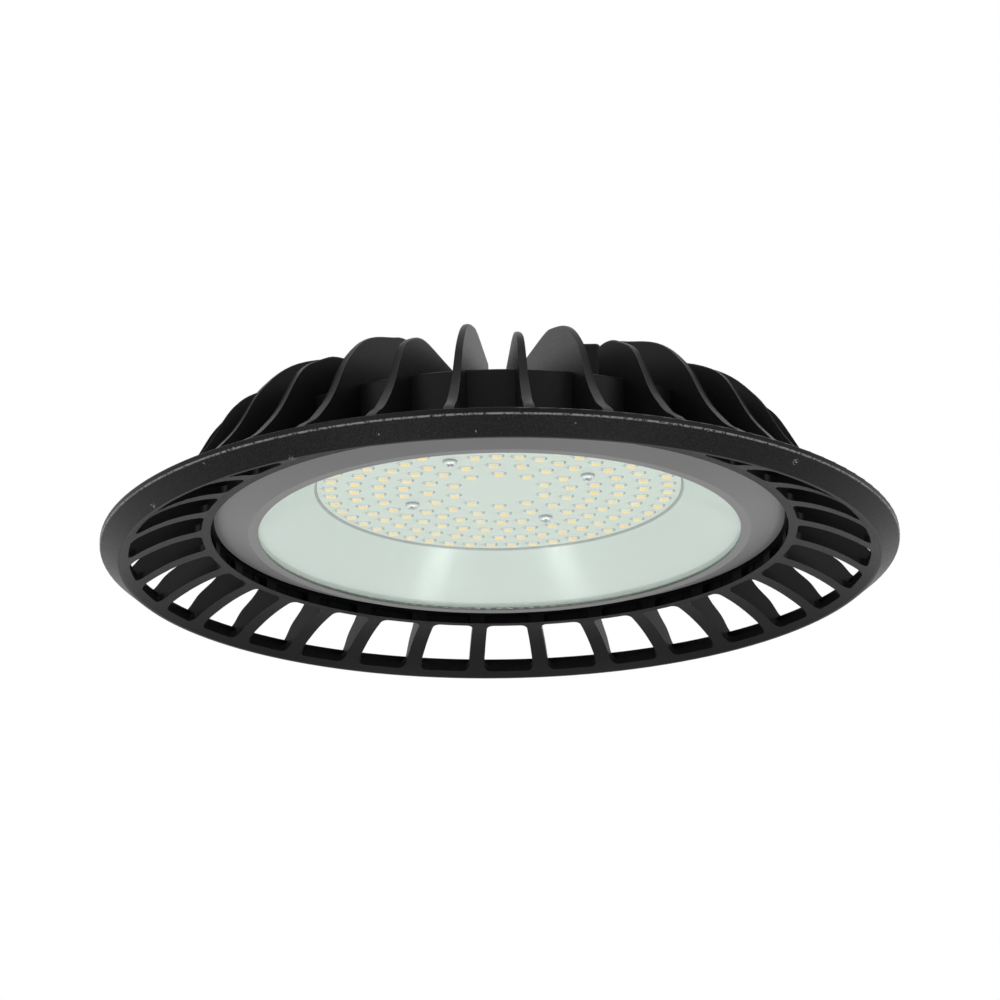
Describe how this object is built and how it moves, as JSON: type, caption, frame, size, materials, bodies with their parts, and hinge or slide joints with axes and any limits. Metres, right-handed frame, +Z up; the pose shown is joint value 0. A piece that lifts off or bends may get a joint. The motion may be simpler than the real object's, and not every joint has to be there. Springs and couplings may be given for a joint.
{
  "type": "high bay light",
  "caption": "Round LED high bay light: black finned casting with a slotted bell and heavy rim, white reflector and LED board behind glass, grey bezel, driver cup with hanger boss on top.",
  "frame": {"origin": "centre of the flat ring under the rim, on which the light stands when put down", "axes": "+Z up the light's axis towards the hanger, light shining along -Z; +X and +Y along the sides of the rectangle of bracket bosses"},
  "size_m": [0.33, 0.33, 0.094],
  "materials": {
    "black_paint": "semi-gloss powder coat on die-cast aluminium",
    "grey_paint": "satin paint on aluminium",
    "white_board": "white solder mask on an aluminium board",
    "led": "phosphor in a white package",
    "grey_rubber": "thermal pad",
    "steel": "zinc-plated steel",
    "white_plastic": "moulded",
    "white_gloss": "gloss white",
    "clear_glass": "toughened, clear",
    "silicone": "silicone",
    "black_plastic": "moulded nylon",
    "black_rubber": "moulded",
    "green_board": "glass-fibre board",
    "brass": "turned",
    "clear_sheet": "polyester sheet",
    "ferrite": "ferrite",
    "tape": "polyester tape over the winding",
    "can": "sleeved can",
    "copper": "enamelled winding",
    "green_plastic": "moulded",
    "red_wire": "insulated wire"
  },
  "bodies": {
    "root": {"housing": "black_paint", "lid": "black_paint", "bezel": "grey_paint", "led_board": "white_board", "led_chips": "led", "thermal_pad": "grey_rubber", "board_screws": "steel", "board_connector": "white_plastic", "reflector": "white_gloss", "glass": "clear_glass", "glass_seal": "silicone", "bezel_gasket": "silicone", "bezel_studs": "steel", "bezel_washers": "steel", "bezel_nuts": "steel", "lid_gasket": "silicone", "lid_screws": "steel", "gland_body": "black_plastic", "gland_nut": "black_plastic", "gland_seal": "black_rubber", "gland_locknut": "black_plastic", "vent_plug": "black_plastic", "driver_board": "green_board", "driver_standoffs": "brass", "driver_screws": "steel", "insulating_sheet": "clear_sheet", "transformer_core": "ferrite", "transformer_coil": "tape", "capacitors": "can", "inductor": "copper", "rectifier": "black_plastic", "power_transistor": "black_plastic", "terminal_block": "green_plastic", "led_leads": "red_wire", "lead_grommet": "black_rubber", "earth_screw": "brass"}
  },
  "joints": []
}
